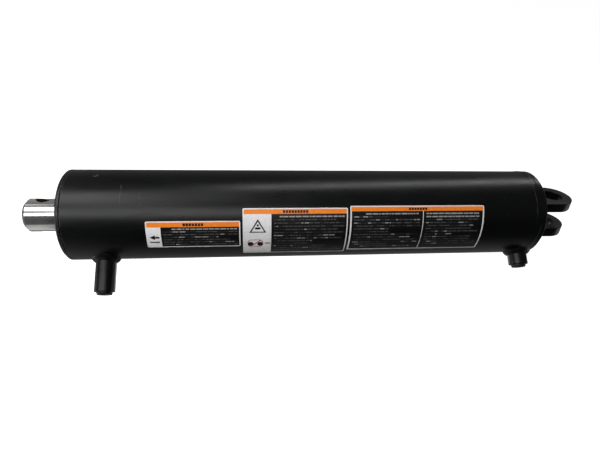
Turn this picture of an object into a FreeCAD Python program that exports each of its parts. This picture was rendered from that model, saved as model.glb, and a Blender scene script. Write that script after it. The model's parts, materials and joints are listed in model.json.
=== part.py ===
import FreeCAD, Part
import math
import os

# Double-acting hydraulic cylinder: a honed tube closed by a welded base cap with two clevis
# ears and by a threaded head gland, with a chromed rod that is cross-drilled for a pin.
#
# Frame: the origin is the centre of the base clevis pin, on the cylinder's axis. +X points
# from the barrel towards the clevis, so the rod comes out along -X. +Z is the pin's axis.
# Millimetres. "From the base" distances start at the base cap's outer face and run towards
# the rod; "from the head" distances start at the head gland's outer face and run to the base.

# ---------------------------------------------------------------- driving dimensions
BARREL_OD = 139.7            # 5.5 in tube
BORE = 127.0                 # 5 in bore
ROD_D = 50.8                 # 2 in rod
BODY_LENGTH = 743.0          # gland face to base cap face
STROKE = 609.6               # 24 in
RUN = 0.05                   # radial clearance of seals and guides on what they slide on
SLACK = 0.35                 # clearance beside seals and guides in their grooves

PIN_HOLE_D = 32.5            # base clevis, for a 31.75 mm pin
PIN_TO_BASE_FACE = 44.45
EAR_WIDTH = 63.5
EAR_THICKNESS = 15.875
EAR_GAP = 31.75
EAR_EDGE = 0.8               # chamfer round the ears
EAR_WELD_LEG = 6.0

CROSS_HOLE_D = 23.0          # rod eye, for a 22.2 mm pin
CENTRES_CLOSED = 825.5       # base pin to rod cross hole, retracted
ROD_STICK_OUT = 64.5         # rod tip beyond the gland face, retracted
ROD_TIP_CHAMFER = 4.8
ROD_TURN = -15.0             # cross hole away from the base pin's direction, degrees about X

CAP_LENGTH = 32.0
CAP_FLANGE = 10.0
EDGE_CHAMFER = 2.5
WELD_END = 18.0              # base weld runs from the flange to here, from the base
WELD_CROWN = 0.6
OIL_DRILLING_R = 6.0         # lets oil past the piston when it rests on the cap
OIL_DRILLING_DEPTH = 14.0
OIL_DRILLING_OFFSET = 49.0

GLAND_LENGTH = 60.0
GLAND_FLANGE = 6.35
JOINT_CHAMFER = 0.8          # makes a fine groove where the gland's flange meets the tube
GLAND_THREAD_END = 30.0
GLAND_LAND_END = 46.0
GLAND_NOSE_R = 52.0
THREAD_R = 64.4              # pitch radius of the gland thread
GLAND_BORE_R = 25.9
GLAND_OPENING_R = 28.2       # counterbore that the wiper leans out of
SPANNER_HOLE_R = 4.75
SPANNER_HOLE_DEPTH = 6.0
SPANNER_CIRCLE_R = 50.0
# Gland grooves: the two sides, from the head, and the radius of the floor.
WIPER_GROOVE = (1.5, 7.0, 31.0)
OUTER_BAND_GROOVE = (11.0, 21.0, 28.0)
U_CUP_GROOVE = (27.7, 37.5, 32.9)
INNER_BAND_GROOVE = (46.5, 56.5, 28.0)
O_RING_GROOVE = (33.5, 40.5, 58.95)
O_RING_FROM_HEAD = 36.0
BACKUP_RING_WIDTH = 1.6
U_CUP_LIP = 1.85             # thickness of a lip's tip
U_CUP_LIP_DEPTH = 4.7
WIPER_BODY_R = 26.4          # bore of the wiper behind its lip
WIPER_LIP_ROOT = 2.5         # from the head
WIPER_STAND = 1.6            # lip beyond the gland's face
WIPER_LIP_TIP = 0.4

PISTON_LENGTH = 41.0
END_GAP = 0.2                # piston face to cap, retracted
PISTON_R = 63.1
SPIGOT_D = 32.0
SPIGOT_CHAMFER = 1.5
ROD_GROOVE = (61.4, 64.6, 13.3)    # sides from the base and floor radius, for the rod's O-ring
SEAL_FLOOR_R = 55.0          # bottom of the piston's seal groove
SEAL_JOINT_R = 59.6          # slide ring outside, rubber spring inside
WEAR_FLOOR_R = 60.6          # bottom of the wear ring grooves
# Ring bands on the piston: start from its rear face, and width.
REAR_WEAR_BAND = (3.35, 8.0)
SEAL_BAND = (16.75, 7.5)
FRONT_WEAR_BAND = (29.65, 8.0)
NUT_HEIGHT = 18.0
NUT_EDGE = (1.0, 1.5)        # corner rounding of the nut, along and across
NUT_FLATS = 47.6
NUT_POCKET_R = 30.0
NUT_POCKET_DEPTH = 20.0

PORT_TURN = 135.0            # ports point down and to the front, from +Z about X
PORT_OD = 30.0
PORT_TAP_R = 9.15            # tap drill of the port thread
PORT_TAP_DEPTH = 18.0        # from the mouth
PORT_RELIEF_R = 9.6          # plain bore below the thread
PORT_MOUTH_R = 10.75         # counterbore that holds the dust plug
PORT_MOUTH_DEPTH = 3.0
PORT_MOUTH_CHAMFER = 1.0
PORT_PASSAGE_R = 6.35        # 12.7 mm drill through the barrel's wall
PORT_PASSAGE_END = 42.0      # how near the passage comes to the cylinder's axis
PORT_WELD_LEG = 6.5
ROD_PORT_FROM_HEAD = 55.0
ROD_PORT_STAND = 50.5
BASE_PORT_FROM_BASE = 22.0
BASE_PORT_STAND = 22.3

PLUG_R = 11.5
PLUG_HEAD = 4.5
PLUG_RIM = 1.6               # straight part of the head
PLUG_TAPER = 0.9
PLUG_SHANK = 2.7
PLUG_LEAD_IN = 0.5
PLUG_RECESS_R = 7.0
PLUG_RECESS_FLOOR = 0.4
PLUG_GRIP = 0.1              # clearance of the dust plug on the port's mouth

BLEED_FROM_HEAD = 47.7       # air bleed in the tube's wall, at the top of the rod-end chamber
BLEED_TURN = 4.8
BLEED_SCREW_R = 3.97
BLEED_SCREW_RECESS = 0.6
BLEED_SOCKET_R = 2.3
BLEED_SOCKET_DEPTH = 3.2

LABEL_THICKNESS = 0.3
# name: (start and end from the head, first and last angle from +Z towards the front)
LABELS = {
    "pinch_label": (123.0, 258.0, 69.0, 104.6),
    "pressure_label": (261.6, 418.5, 54.0, 119.8),
    "service_label": (422.3, 634.8, 51.8, 115.5),
}

# ---------------------------------------------------------------- derived places
BARREL_R = BARREL_OD / 2
BORE_R = BORE / 2
ROD_R = ROD_D / 2
SPIGOT_R = SPIGOT_D / 2
CAP_SPIGOT_R = BORE_R - RUN
BASE_FACE_X = -PIN_TO_BASE_FACE
HEAD_FACE_X = BASE_FACE_X - BODY_LENGTH
PISTON_REAR = CAP_LENGTH + END_GAP
PISTON_FRONT = PISTON_REAR + PISTON_LENGTH
WELD_ROOT = ((CAP_FLANGE + WELD_END) / 2 - 1, (CAP_FLANGE + WELD_END) / 2 + 1)

ORIGIN = FreeCAD.Vector(0, 0, 0)
X_AXIS = FreeCAD.Vector(1, 0, 0)
Z_AXIS = FreeCAD.Vector(0, 0, 1)


# ---------------------------------------------------------------- shape helpers
def from_base(distance):
    """X of a place measured from the base cap's face."""
    return BASE_FACE_X - distance


def from_head(distance):
    """X of a place measured from the gland's face."""
    return HEAD_FACE_X + distance


def turned(corners):
    """Solid of revolution about the cylinder's axis from (x, radius) corners."""
    points = [FreeCAD.Vector(x, radius, 0) for x, radius in corners]
    return Part.Face(Part.makePolygon(points + points[:1])).revolve(ORIGIN, X_AXIS, 360)


def ring(x_a, x_b, inner, outer):
    """Plain ring about the cylinder's axis."""
    return turned([(x_a, inner), (x_a, outer), (x_b, outer), (x_b, inner)])


def rod_shape(x_a, x_b, radius):
    """Plain round bar on the cylinder's axis."""
    return Part.makeCylinder(radius, abs(x_b - x_a), FreeCAD.Vector(min(x_a, x_b), 0, 0), X_AXIS)


def swung(shape, degrees):
    """The shape turned about the cylinder's axis, from +Z towards the front (-Y)."""
    turned_copy = shape.copy()
    turned_copy.rotate(ORIGIN, X_AXIS, degrees)
    return turned_copy


def upright(x, radius, low, high):
    """Round bar that stands along +Z at x, between two heights."""
    return Part.makeCylinder(radius, high - low, FreeCAD.Vector(x, 0, low), Z_AXIS)


def upright_turned(x, corners):
    """Solid of revolution about an upright line at x from (radius, height) corners."""
    points = [FreeCAD.Vector(x + radius, 0, height) for radius, height in corners]
    face = Part.Face(Part.makePolygon(points + points[:1]))
    return face.revolve(FreeCAD.Vector(x, 0, 0), Z_AXIS, 360)


def torus(x, major, minor):
    """O-ring about the cylinder's axis."""
    return Part.makeTorus(major, minor, FreeCAD.Vector(x, 0, 0), X_AXIS)


def body_envelope():
    """Outside of the closed barrel, with its two chamfered ends."""
    return turned([
        (from_head(0), 0), (from_head(0), BARREL_R - EDGE_CHAMFER), (from_head(EDGE_CHAMFER), BARREL_R),
        (from_base(EDGE_CHAMFER), BARREL_R), (from_base(0), BARREL_R - EDGE_CHAMFER), (from_base(0), 0),
    ])


# ---------------------------------------------------------------- barrel, cap and gland
def port_passage(x):
    """Oil hole under a port, through the tube wall and on inwards."""
    return swung(upright(x, PORT_PASSAGE_R, PORT_PASSAGE_END, BARREL_R + 1), PORT_TURN)


def bleed_hole():
    """Air bleed through the tube's wall."""
    hole = upright(from_head(BLEED_FROM_HEAD), BLEED_SCREW_R + RUN, BORE_R - 1, BARREL_R + 1)
    return swung(hole, BLEED_TURN)


def barrel_tube():
    tube = turned([
        (from_head(GLAND_FLANGE), THREAD_R), (from_head(GLAND_FLANGE), BARREL_R - JOINT_CHAMFER),
        (from_head(GLAND_FLANGE + JOINT_CHAMFER), BARREL_R),
        (from_base(WELD_END), BARREL_R), (from_base(WELD_ROOT[1]), BORE_R),
        (from_head(GLAND_THREAD_END), BORE_R), (from_head(GLAND_THREAD_END), THREAD_R),
    ])
    for hole in (port_passage(rod_port_x()), port_passage(base_port_x()), bleed_hole()):
        tube = tube.cut(hole)
    return tube


def base_cap():
    cap = turned([
        (from_base(0), 0), (from_base(0), BARREL_R - EDGE_CHAMFER), (from_base(EDGE_CHAMFER), BARREL_R),
        (from_base(CAP_FLANGE), BARREL_R), (from_base(WELD_ROOT[0]), CAP_SPIGOT_R),
        (from_base(CAP_LENGTH), CAP_SPIGOT_R), (from_base(CAP_LENGTH), 0),
    ])
    start = FreeCAD.Vector(from_base(CAP_LENGTH), 0, OIL_DRILLING_OFFSET)
    drilling = Part.makeCylinder(OIL_DRILLING_R, OIL_DRILLING_DEPTH, start, X_AXIS)
    return cap.cut(port_passage(base_port_x())).cut(swung(drilling, PORT_TURN))


def base_weld():
    """Girth bead in the V groove between the cap's flange and the tube."""
    crown = Part.Arc(
        FreeCAD.Vector(from_base(CAP_FLANGE), BARREL_R, 0),
        FreeCAD.Vector(from_base((CAP_FLANGE + WELD_END) / 2), BARREL_R + WELD_CROWN, 0),
        FreeCAD.Vector(from_base(WELD_END), BARREL_R, 0),
    ).toShape()
    groove = Part.makePolygon([
        FreeCAD.Vector(from_base(WELD_END), BARREL_R, 0),
        FreeCAD.Vector(from_base(WELD_ROOT[1]), BORE_R, 0),
        FreeCAD.Vector(from_base(WELD_ROOT[1]), CAP_SPIGOT_R, 0),
        FreeCAD.Vector(from_base(WELD_ROOT[0]), CAP_SPIGOT_R, 0),
        FreeCAD.Vector(from_base(CAP_FLANGE), BARREL_R, 0),
    ])
    bead = Part.Face(Part.Wire([crown] + groove.Edges)).revolve(ORIGIN, X_AXIS, 360)
    return bead.cut(port_passage(base_port_x())).cut(base_port_stub())


def head_gland():
    opening = WIPER_GROOVE[0]
    gland = turned([
        (from_head(0), GLAND_OPENING_R), (from_head(0), BARREL_R - EDGE_CHAMFER),
        (from_head(EDGE_CHAMFER), BARREL_R), (from_head(GLAND_FLANGE - JOINT_CHAMFER), BARREL_R),
        (from_head(GLAND_FLANGE), BARREL_R - JOINT_CHAMFER),
        (from_head(GLAND_FLANGE), THREAD_R - RUN), (from_head(GLAND_THREAD_END), THREAD_R - RUN),
        (from_head(GLAND_THREAD_END), BORE_R - RUN), (from_head(GLAND_LAND_END), BORE_R - RUN),
        (from_head(GLAND_LAND_END), GLAND_NOSE_R), (from_head(GLAND_LENGTH), GLAND_NOSE_R),
        (from_head(GLAND_LENGTH), GLAND_BORE_R), (from_head(opening), GLAND_BORE_R),
        (from_head(opening), GLAND_OPENING_R),
    ])
    for start, end, floor in (WIPER_GROOVE, OUTER_BAND_GROOVE, U_CUP_GROOVE, INNER_BAND_GROOVE):
        gland = gland.cut(ring(from_head(start), from_head(end), GLAND_BORE_R - 1, floor))
    start, end, floor = O_RING_GROOVE
    gland = gland.cut(ring(from_head(start), from_head(end), floor, BORE_R + 1))
    for index in range(4):
        place = FreeCAD.Vector(from_head(0), 0, SPANNER_CIRCLE_R)
        spanner_hole = Part.makeCylinder(SPANNER_HOLE_R, SPANNER_HOLE_DEPTH, place, X_AXIS)
        gland = gland.cut(swung(spanner_hole, 45 + 90 * index))
    return gland


# ---------------------------------------------------------------- seals and guides in the gland
def gland_o_ring():
    """Static seal, drawn at its squeezed height."""
    floor = O_RING_GROOVE[2]
    return torus(from_head(O_RING_FROM_HEAD), (floor + BORE_R) / 2, (BORE_R - floor) / 2)


def gland_backup_ring():
    """Flat ring on the O-ring's dry side, against the groove's wall."""
    end, floor = O_RING_GROOVE[1:]
    side = end - SLACK
    return ring(from_head(side - BACKUP_RING_WIDTH), from_head(side), floor + RUN, BORE_R - RUN)


def rod_wear_band(groove):
    """Guide strip that fills its gland groove and rubs on the rod."""
    start, end, floor = groove
    return ring(from_head(start + SLACK), from_head(end - SLACK), ROD_R + RUN, floor - RUN)


def rod_u_cup():
    """Rod seal whose two lips open towards the oil."""
    start, end, floor = U_CUP_GROOVE
    inner, outer = ROD_R + RUN, floor - RUN
    heel, tips = from_head(start + SLACK), from_head(end - SLACK)
    return turned([
        (heel, inner), (heel, outer), (tips, outer), (tips, outer - U_CUP_LIP),
        (tips - U_CUP_LIP_DEPTH, (inner + outer) / 2), (tips, inner + U_CUP_LIP), (tips, inner),
    ])


def rod_wiper():
    """Snap-in wiper whose lip leans out along the rod."""
    start, end, floor = WIPER_GROOVE
    front, rear, outer = from_head(start + RUN), from_head(end - RUN), floor - RUN
    return turned([
        (front, outer), (rear, outer), (rear, WIPER_BODY_R), (from_head(WIPER_LIP_ROOT), WIPER_BODY_R),
        (from_head(WIPER_LIP_TIP - WIPER_STAND), ROD_R + RUN),
        (from_head(-WIPER_STAND), ROD_R + RUN + WIPER_LIP_TIP), (front, GLAND_OPENING_R - 4 * RUN),
    ])


def bleed_screw():
    """Recessed socket set screw that shuts the air bleed."""
    x = from_head(BLEED_FROM_HEAD)
    top = BARREL_R - BLEED_SCREW_RECESS
    screw = upright(x, BLEED_SCREW_R, BORE_R + RUN, top)
    corners = []
    for index in range(7):
        turn = math.radians(60 * index)
        corners.append(FreeCAD.Vector(
            x + BLEED_SOCKET_R * math.cos(turn), BLEED_SOCKET_R * math.sin(turn), top - BLEED_SOCKET_DEPTH,
        ))
    socket = Part.Face(Part.makePolygon(corners)).extrude(Z_AXIS * (BLEED_SOCKET_DEPTH + 1))
    return swung(screw.cut(socket), BLEED_TURN)


# ---------------------------------------------------------------- base clevis
def clevis_ear(side):
    """Plate ear with a full-round end; side is +1 for the upper one and -1 for the lower one."""
    low = EAR_GAP / 2 if side > 0 else -EAR_GAP / 2 - EAR_THICKNESS
    half = EAR_WIDTH / 2
    root = [FreeCAD.Vector(BASE_FACE_X, y, low) for y in (half, -half)]
    flank = [FreeCAD.Vector(0, y, low) for y in (half, -half)]
    edges = [
        Part.makeLine(flank[0], root[0]), Part.makeLine(root[0], root[1]), Part.makeLine(root[1], flank[1]),
        Part.Arc(flank[1], FreeCAD.Vector(half, 0, low), flank[0]).toShape(),
    ]
    plate = Part.Face(Part.Wire(edges)).extrude(Z_AXIS * EAR_THICKNESS)
    rim = [edge for edge in plate.Edges
           if edge.BoundBox.ZLength < 0.1 and edge.BoundBox.XMin > BASE_FACE_X - 1
           and edge.BoundBox.XMax > BASE_FACE_X + 1]
    plate = plate.makeChamfer(EAR_EDGE, rim)
    return plate.cut(upright(0, PIN_HOLE_D / 2, low - 1, low + EAR_THICKNESS + 1))


def ear_weld(side):
    """Fillet bead all round the foot of an ear, on the base cap's face."""
    leg = EAR_WELD_LEG
    low = EAR_GAP / 2 if side > 0 else -EAR_GAP / 2 - EAR_THICKNESS
    block = Part.makeBox(leg, EAR_WIDTH + 2 * leg, EAR_THICKNESS + 2 * leg,
                         FreeCAD.Vector(BASE_FACE_X, -EAR_WIDTH / 2 - leg, low - leg))
    block = block.makeFillet(leg + 0.5, [e for e in block.Edges if e.BoundBox.XLength > leg / 2])
    outer = max(block.Faces, key=lambda face: face.CenterOfMass.x)
    return block.makeChamfer(leg - 0.15, outer.Edges).cut(clevis_ear(side))


# ---------------------------------------------------------------- ports
def rod_port_x():
    return from_head(ROD_PORT_FROM_HEAD)


def base_port_x():
    return from_base(BASE_PORT_FROM_BASE)


def port_stub(x, stand):
    """Heavy tube saddled on the barrel and tapped at its mouth."""
    mouth = BARREL_R + stand
    radius = PORT_OD / 2
    stub = upright_turned(x, [
        (0, BORE_R / 2), (radius, BORE_R / 2), (radius, mouth - PORT_MOUTH_CHAMFER),
        (radius - PORT_MOUTH_CHAMFER, mouth), (0, mouth),
    ])
    stub = stub.cut(upright(x, PORT_MOUTH_R, mouth - PORT_MOUTH_DEPTH, mouth + 1))
    stub = stub.cut(upright(x, PORT_TAP_R, mouth - PORT_TAP_DEPTH, mouth))
    stub = stub.cut(upright(x, PORT_RELIEF_R, 0, mouth - PORT_TAP_DEPTH))
    return swung(stub, PORT_TURN).cut(body_envelope())


def port_weld(x):
    """Fillet bead round the foot of a port stub; it follows the barrel's curve."""
    foot, leg = PORT_OD / 2, PORT_WELD_LEG
    low = BARREL_R - leg
    cone = upright_turned(x, [(foot, low), (foot, BARREL_R + leg), (foot + 2 * leg, low)])
    past_the_end = rod_shape(from_base(EDGE_CHAMFER), from_base(-PORT_OD), BARREL_OD)
    return swung(cone, PORT_TURN).cut(body_envelope()).cut(past_the_end)


def rod_port_stub():
    return port_stub(rod_port_x(), ROD_PORT_STAND)


def base_port_stub():
    return port_stub(base_port_x(), BASE_PORT_STAND)


def base_port_weld():
    return port_weld(base_port_x()).cut(base_weld())


def port_plug(x, stand):
    """Push-in plastic dust plug: a short shank, a tapered head and a finger recess."""
    mouth = BARREL_R + stand
    shank = PORT_MOUTH_R - PLUG_GRIP
    seat, top = mouth + PLUG_GRIP, mouth + PLUG_HEAD
    plug = upright_turned(x, [
        (0, mouth - PLUG_SHANK), (shank - PLUG_LEAD_IN, mouth - PLUG_SHANK),
        (shank, mouth - PLUG_SHANK + PLUG_LEAD_IN), (shank, seat), (PLUG_R, seat),
        (PLUG_R, mouth + PLUG_RIM), (PLUG_R - PLUG_TAPER, top), (0, top),
    ])
    recess = upright(x, PLUG_RECESS_R, mouth + PLUG_RECESS_FLOOR, top + 1)
    return swung(plug.cut(recess), PORT_TURN)


# ---------------------------------------------------------------- labels
def label(start, end, first, last):
    """Thin printed sheet that lies on the barrel."""
    corners = [(from_head(start), BARREL_R), (from_head(start), BARREL_R + LABEL_THICKNESS),
               (from_head(end), BARREL_R + LABEL_THICKNESS), (from_head(end), BARREL_R)]
    points = [FreeCAD.Vector(x, 0, radius) for x, radius in corners]
    sheet = Part.Face(Part.makePolygon(points + points[:1])).revolve(ORIGIN, X_AXIS, last - first)
    return swung(sheet, first)


# ---------------------------------------------------------------- rod, piston and their rings
def piston_rod():
    """Chromed rod with its cross hole at one end and the piston's spigot at the other."""
    tip = from_head(-ROD_STICK_OUT)
    spigot_end = from_base(PISTON_REAR + 1)
    rod = turned([
        (tip, 0), (tip, ROD_R - ROD_TIP_CHAMFER), (tip + ROD_TIP_CHAMFER, ROD_R),
        (from_base(PISTON_FRONT), ROD_R), (from_base(PISTON_FRONT), SPIGOT_R),
        (spigot_end - SPIGOT_CHAMFER, SPIGOT_R), (spigot_end, SPIGOT_R - SPIGOT_CHAMFER), (spigot_end, 0),
    ])
    start, end, floor = ROD_GROOVE
    rod = rod.cut(ring(from_base(end), from_base(start), floor, SPIGOT_R + 1))
    cross_hole = upright(-CENTRES_CLOSED, CROSS_HOLE_D / 2, -ROD_D, ROD_D)
    return rod.cut(swung(cross_hole, ROD_TURN))


def on_piston(band, inner, outer, side_play=0.0):
    """Ring in a band of the piston, which is given from the piston's rear face."""
    start = PISTON_REAR + band[0] - side_play
    end = PISTON_REAR + band[0] + band[1] + side_play
    return ring(from_base(end), from_base(start), inner, outer)


def piston():
    """Piston with its nut pocket and three ring grooves."""
    body = ring(from_base(PISTON_FRONT), from_base(PISTON_REAR), SPIGOT_R + RUN, PISTON_R)
    pocket_floor = PISTON_REAR + NUT_POCKET_DEPTH
    body = body.cut(rod_shape(from_base(pocket_floor), from_base(PISTON_REAR), NUT_POCKET_R))
    for band in (REAR_WEAR_BAND, FRONT_WEAR_BAND):
        body = body.cut(on_piston(band, WEAR_FLOOR_R, PISTON_R + 1, SLACK))
    return body.cut(on_piston(SEAL_BAND, SEAL_FLOOR_R, PISTON_R + 1, SLACK))


def piston_wear_ring(band):
    """Guide strip between the piston and the bore."""
    return on_piston(band, WEAR_FLOOR_R + SLACK, BORE_R - RUN)


def piston_seal():
    """Filled-plastic slide ring that rubs on the bore."""
    return on_piston(SEAL_BAND, SEAL_JOINT_R, BORE_R - RUN)


def piston_seal_spring():
    """Rubber ring that presses the slide ring outwards."""
    return on_piston(SEAL_BAND, SEAL_FLOOR_R + SLACK, SEAL_JOINT_R)


def piston_rod_o_ring():
    """Static seal between the rod's spigot and the piston."""
    start, end, floor = ROD_GROOVE
    outer = SPIGOT_R + RUN
    return torus(from_base((start + end) / 2), (floor + outer) / 2, (outer - floor) / 2)


def piston_nut():
    """Hexagon nut in the piston's pocket."""
    seat = from_base(PISTON_REAR + NUT_POCKET_DEPTH)
    corner = NUT_FLATS / math.sqrt(3)
    corners = []
    for index in range(7):
        turn = math.radians(60 * index)
        corners.append(FreeCAD.Vector(seat, corner * math.cos(turn), corner * math.sin(turn)))
    hexagon = Part.Face(Part.makePolygon(corners)).extrude(X_AXIS * NUT_HEIGHT)
    end = seat + NUT_HEIGHT
    along, across = NUT_EDGE
    rounding = turned([
        (seat, SPIGOT_R + RUN), (seat, corner - across), (seat + along, corner), (end - along, corner),
        (end, corner - across), (end, SPIGOT_R + RUN),
    ])
    return hexagon.common(rounding)


def parts():
    """Every sub-part, by node name."""
    made = {
        "barrel_tube": barrel_tube(),
        "base_cap": base_cap(),
        "base_weld": base_weld(),
        "head_gland": head_gland(),
        "gland_o_ring": gland_o_ring(),
        "gland_backup_ring": gland_backup_ring(),
        "outer_rod_wear_band": rod_wear_band(OUTER_BAND_GROOVE),
        "inner_rod_wear_band": rod_wear_band(INNER_BAND_GROOVE),
        "rod_u_cup": rod_u_cup(),
        "rod_wiper": rod_wiper(),
        "bleed_screw": bleed_screw(),
        "upper_clevis_ear": clevis_ear(1),
        "lower_clevis_ear": clevis_ear(-1),
        "upper_ear_weld": ear_weld(1),
        "lower_ear_weld": ear_weld(-1),
        "rod_port_stub": rod_port_stub(),
        "rod_port_weld": port_weld(rod_port_x()),
        "rod_port_plug": port_plug(rod_port_x(), ROD_PORT_STAND),
        "base_port_stub": base_port_stub(),
        "base_port_weld": base_port_weld(),
        "base_port_plug": port_plug(base_port_x(), BASE_PORT_STAND),
        "piston_rod": piston_rod(),
        "piston": piston(),
        "piston_nut": piston_nut(),
        "piston_rod_o_ring": piston_rod_o_ring(),
        "piston_seal": piston_seal(),
        "piston_seal_spring": piston_seal_spring(),
        "rear_piston_wear_ring": piston_wear_ring(REAR_WEAR_BAND),
        "front_piston_wear_ring": piston_wear_ring(FRONT_WEAR_BAND),
    }
    for name, (start, end, first, last) in LABELS.items():
        made[name] = label(start, end, first, last)
    return made


os.makedirs("parts", exist_ok=True)
for node, shape in parts().items():
    shape.exportStep(f"parts/{node}.step")
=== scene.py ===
import json
import math
import random

import bmesh
import bpy
from mathutils import Matrix, Vector


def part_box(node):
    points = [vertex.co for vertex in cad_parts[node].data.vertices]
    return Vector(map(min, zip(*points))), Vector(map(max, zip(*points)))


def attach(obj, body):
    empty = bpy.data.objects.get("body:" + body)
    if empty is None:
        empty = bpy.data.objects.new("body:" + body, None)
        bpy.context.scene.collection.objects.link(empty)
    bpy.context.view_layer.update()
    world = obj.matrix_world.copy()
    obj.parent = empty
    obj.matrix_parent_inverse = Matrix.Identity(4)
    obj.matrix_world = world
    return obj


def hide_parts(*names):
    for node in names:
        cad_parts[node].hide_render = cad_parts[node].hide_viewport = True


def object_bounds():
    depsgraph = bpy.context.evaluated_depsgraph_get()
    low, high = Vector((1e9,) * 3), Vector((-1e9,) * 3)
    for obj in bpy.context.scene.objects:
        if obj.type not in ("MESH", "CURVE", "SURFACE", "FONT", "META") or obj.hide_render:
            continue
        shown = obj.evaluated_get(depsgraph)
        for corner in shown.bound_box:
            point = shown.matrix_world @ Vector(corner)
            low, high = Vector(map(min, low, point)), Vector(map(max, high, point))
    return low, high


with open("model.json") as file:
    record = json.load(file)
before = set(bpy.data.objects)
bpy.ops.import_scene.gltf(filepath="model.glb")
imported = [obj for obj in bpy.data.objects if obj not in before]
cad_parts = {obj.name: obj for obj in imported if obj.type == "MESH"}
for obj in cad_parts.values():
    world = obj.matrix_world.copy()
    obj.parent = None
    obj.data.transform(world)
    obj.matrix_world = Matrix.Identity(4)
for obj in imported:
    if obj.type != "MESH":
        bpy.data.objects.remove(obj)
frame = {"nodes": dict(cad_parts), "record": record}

CAD_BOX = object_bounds()
MM = 0.001

# ---------------------------------------------------------------- places, read from the frame
# The cylinder's axis is the frame's X axis. Angles run about it from +Z towards the front (-Y).
BARREL_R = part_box("barrel_tube")[1].z
HEAD_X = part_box("head_gland")[0].x
BASE_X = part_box("base_cap")[1].x
ALONG = Vector((1, 0, 0))
MOUNTS = {mount["name"]: mount for mount in frame["record"]["mounts"]}


def around(x, angle, radius):
    """Point at a station, an angle in degrees and a distance from the cylinder's axis."""
    turn = math.radians(angle)
    return Vector((x, -radius * math.sin(turn), radius * math.cos(turn)))


# ---------------------------------------------------------------- shader nodes
class Shader:
    """A material's node tree, with one call per node."""

    def __init__(self, name):
        self.material = bpy.data.materials.new(name)
        self.material.use_nodes = True
        self.tree = self.material.node_tree
        self.surface = self.tree.nodes["Principled BSDF"]
        self.place = self.node("ShaderNodeTexCoord").outputs["Object"]

    def node(self, kind, values=None, **settings):
        """New node with its settings, and with values or links on its inputs."""
        made = self.tree.nodes.new(kind)
        for key, value in settings.items():
            setattr(made, key, value)
        for key, value in (values or {}).items():
            self.put(made.inputs[key], value)
        return made

    def put(self, socket, value):
        """Links another socket to an input, or sets a plain value on it."""
        if isinstance(value, bpy.types.NodeSocket):
            self.tree.links.new(value, socket)
        else:
            socket.default_value = value

    def set(self, **values):
        """Fills inputs of the surface shader; an underscore stands for a space."""
        for key, value in values.items():
            self.put(self.surface.inputs[key.replace("_", " ")], value)

    def stretched(self, scale):
        """Object coordinates multiplied axis by axis."""
        node = self.node("ShaderNodeVectorMath", {0: self.place, 1: scale}, operation="MULTIPLY")
        return node.outputs["Vector"]

    def noise(self, scale, detail=3.0, roughness=0.55, place=None):
        """Cloudy noise over the object's own coordinates, or over others."""
        values = {
            "Vector": place or self.place, "Scale": scale,
            "Detail": detail, "Roughness": roughness,
        }
        return self.node("ShaderNodeTexNoise", values).outputs["Fac"]

    def math(self, operation, *terms):
        """Result of one sum on sockets or numbers."""
        values = dict(enumerate(terms))
        return self.node("ShaderNodeMath", values, operation=operation).outputs[0]

    def remap(self, value, low, high, new_low, new_high):
        """Value carried from one range to another, and held inside it."""
        values = {
            "Value": value, "From Min": low, "From Max": high,
            "To Min": new_low, "To Max": new_high,
        }
        return self.node("ShaderNodeMapRange", values).outputs["Result"]

    def blend(self, share, first, second):
        """Colour between two, by a share from 0 to 1."""
        node = self.node("ShaderNodeMix", data_type="RGBA")
        for key, value in (("Factor_Float", share), ("A_Color", first), ("B_Color", second)):
            self.put(next(s for s in node.inputs if s.identifier == key), value)
        return next(s for s in node.outputs if s.identifier == "Result_Color")

    def hoop_marks(self, marks):
        """Fine light marks round the barrel, both scratches and painted highlights along groove
        edges: (station, first angle, last angle, width) of each.
        """
        split = self.node("ShaderNodeSeparateXYZ", {0: self.place}).outputs
        front = self.math("MULTIPLY", split["Y"], -1.0)
        turn = self.math("ARCTAN2", front, split["Z"])
        waver = self.remap(self.noise(60.0, 2.0), 0.0, 1.0, -0.0025, 0.0025)
        station = self.math("ADD", split["X"], waver)
        broken = self.remap(self.noise(330.0, 2.0), 0.42, 0.55, 0.0, 1.0)
        total = None
        for x, first, last, width in marks:
            middle, reach = math.radians((first + last) / 2), math.radians((last - first) / 2)
            near = self.math("COMPARE", station, x, width / 2)
            within = self.math("COMPARE", turn, middle, reach)
            mark = self.math("MULTIPLY", near, within)
            total = mark if total is None else self.math("MAXIMUM", total, mark)
        return self.math("MULTIPLY", total, broken)

    def bump(self, *layers):
        """Stacks (height, strength, depth in metres) bumps into one normal."""
        normal = None
        for height, strength, depth in layers:
            values = {"Height": height, "Strength": strength, "Distance": depth}
            if normal is not None:
                values["Normal"] = normal
            normal = self.node("ShaderNodeBump", values).outputs["Normal"]
        self.set(Normal=normal)


def grey(value, warmth=0.0):
    """Grey of a linear brightness, warmer or cooler by a share."""
    return (value * (1 + warmth), value, value * (1 - warmth), 1.0)


def dimmed(tint, share):
    """The same colour at a share of its brightness."""
    return tuple(share * c for c in tint[:3]) + (1.0,)


PAINT_DARK, PAINT_LIGHT = grey(0.0020, -0.06), grey(0.0034, -0.10)
# The light grey of the hoop marks paints scratches, and it also paints the highlight on the
# chamfered edges of the gland's groove.
PAINT_DUST, WORN_AND_HIGHLIGHT_GREY = grey(0.010), grey(0.045)


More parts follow.
